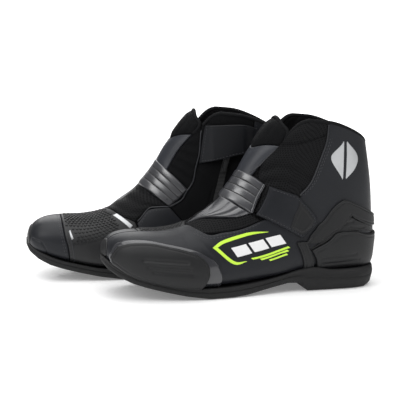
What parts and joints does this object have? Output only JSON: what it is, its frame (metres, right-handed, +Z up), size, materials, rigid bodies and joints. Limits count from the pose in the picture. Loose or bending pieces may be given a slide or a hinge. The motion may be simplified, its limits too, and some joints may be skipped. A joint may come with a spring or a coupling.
{
  "type": "riding boots",
  "caption": "Pair of ankle-high riding boots with toe sliders, heel cups, ribbed insteps, touch-fastened ankle straps and zips under flaps.",
  "frame": {"origin": "middle of the pair's footprint, on the ground", "axes": "+X from the toes towards the heels, +Y from the left boot towards the right one, +Z up"},
  "size_m": [0.3738, 0.2276, 0.1896],
  "materials": {
    "outsole": "moulded, matt",
    "insole_board": "pressed fibre board",
    "shank": "plain spring steel",
    "footbed": "foam with a cloth face",
    "lining": "knitted lining",
    "toe_cap": "matt synthetic leather",
    "shift_pad": "honeycomb relief",
    "lateral_shell": "matt synthetic leather",
    "medial_shell": "matt synthetic leather",
    "vamp_mesh": "open mesh",
    "vamp_textile": "coarse woven cloth",
    "flex_pleats": "glossy synthetic leather",
    "instep_ribs": "satin moulded ribs",
    "tongue": "matt synthetic leather",
    "collar_lateral": "open mesh over padding",
    "gusset": "coarse woven cloth",
    "collar_medial": "coarse woven cloth",
    "heel_cup": "moulded, satin",
    "heel_plate": "moulded, satin",
    "slider_base": "polished",
    "toe_slider": "moulded, satin",
    "slider_screw_front": "blackened",
    "slider_screw_rear": "blackened",
    "strap_keeper": "satin",
    "ankle_strap": "matt synthetic leather",
    "strap_tip": "satin rubbery patch",
    "zip_chain": "coil on tape",
    "zip_slider": "blackened",
    "zip_puller": "blackened",
    "closure_flap": "matt synthetic leather"
  },
  "bodies": {
    "boots": {"left_collar_lateral": "collar_lateral", "left_collar_medial": "collar_medial", "left_flex_pleats": "flex_pleats", "left_footbed": "footbed", "left_gusset": "gusset", "left_heel_cup": "heel_cup", "left_heel_plate": "heel_plate", "left_insole_board": "insole_board", "left_instep_ribs": "instep_ribs", "left_lateral_shell": "lateral_shell", "left_lining": "lining", "left_medial_shell": "medial_shell", "left_outsole": "outsole", "left_shank": "shank", "left_shift_pad": "shift_pad", "left_slider_base": "slider_base", "left_slider_screw_front": "slider_screw_front", "left_slider_screw_rear": "slider_screw_rear", "left_strap_keeper": "strap_keeper", "left_toe_cap": "toe_cap", "left_toe_slider": "toe_slider", "left_tongue": "tongue", "left_vamp_mesh": "vamp_mesh", "left_vamp_textile": "vamp_textile", "left_zip_chain": "zip_chain", "right_collar_lateral": "collar_lateral", "right_collar_medial": "collar_medial", "right_flex_pleats": "flex_pleats", "right_footbed": "footbed", "right_gusset": "gusset", "right_heel_cup": "heel_cup", "right_heel_plate": "heel_plate", "right_insole_board": "insole_board", "right_instep_ribs": "instep_ribs", "right_lateral_shell": "lateral_shell", "right_lining": "lining", "right_medial_shell": "medial_shell", "right_outsole": "outsole", "right_shank": "shank", "right_shift_pad": "shift_pad", "right_slider_base": "slider_base", "right_slider_screw_front": "slider_screw_front", "right_slider_screw_rear": "slider_screw_rear", "right_strap_keeper": "strap_keeper", "right_toe_cap": "toe_cap", "right_toe_slider": "toe_slider", "right_tongue": "tongue", "right_vamp_mesh": "vamp_mesh", "right_vamp_textile": "vamp_textile", "right_zip_chain": "zip_chain"},
    "left_strap": {"left_ankle_strap": "ankle_strap", "left_strap_tip": "strap_tip"},
    "left_flap": {"left_closure_flap": "closure_flap"},
    "left_zip_slider_body": {"left_zip_slider": "zip_slider"},
    "left_zip_puller_body": {"left_zip_puller": "zip_puller"},
    "right_strap": {"right_ankle_strap": "ankle_strap", "right_strap_tip": "strap_tip"},
    "right_flap": {"right_closure_flap": "closure_flap"},
    "right_zip_slider_body": {"right_zip_slider": "zip_slider"},
    "right_zip_puller_body": {"right_zip_puller": "zip_puller"}
  },
  "joints": [
    {"name": "left_strap_hinge", "type": "hinge", "parent": "boots", "child": "left_strap", "pos_m": [0.04995, -0.09101, 0.10015], "axis": [-0.4774, -0.1126, -0.8714], "range_deg": [0, 110]},
    {"name": "left_flap_hinge", "type": "hinge", "parent": "boots", "child": "left_flap", "pos_m": [0.08055, -0.02215, 0.15], "axis": [0.187, 0.0291, 0.9819], "range_deg": [0, 24]},
    {"name": "left_zip_slide", "type": "slide", "parent": "boots", "child": "left_zip_slider_body", "axis": [-0.2365, 0.0097, -0.9716], "range_m": [0, 0.064]},
    {"name": "left_zip_puller_hinge", "type": "hinge", "parent": "left_zip_slider_body", "child": "left_zip_puller_body", "pos_m": [0.10542, -0.01509, 0.13293], "axis": [0.9698, 0.0642, -0.2354], "range_deg": [0, 100]},
    {"name": "right_strap_hinge", "type": "hinge", "parent": "boots", "child": "right_strap", "pos_m": [-0.01254, 0.07943, 0.10015], "axis": [0.4571, -0.178, 0.8714], "range_deg": [0, 110]},
    {"name": "right_flap_hinge", "type": "hinge", "parent": "boots", "child": "right_flap", "pos_m": [0.00818, 0.00698, 0.15], "axis": [-0.1812, 0.0548, -0.9819], "range_deg": [0, 24]},
    {"name": "right_zip_slide", "type": "slide", "parent": "boots", "child": "right_zip_slider_body", "axis": [-0.2355, 0.0233, -0.9716], "range_m": [0, 0.064]},
    {"name": "right_zip_puller_hinge", "type": "hinge", "parent": "right_zip_slider_body", "child": "right_zip_puller_body", "pos_m": [0.03182, -0.00348, 0.13293], "axis": [-0.9514, 0.1985, 0.2354], "range_deg": [0, 100]}
  ]
}
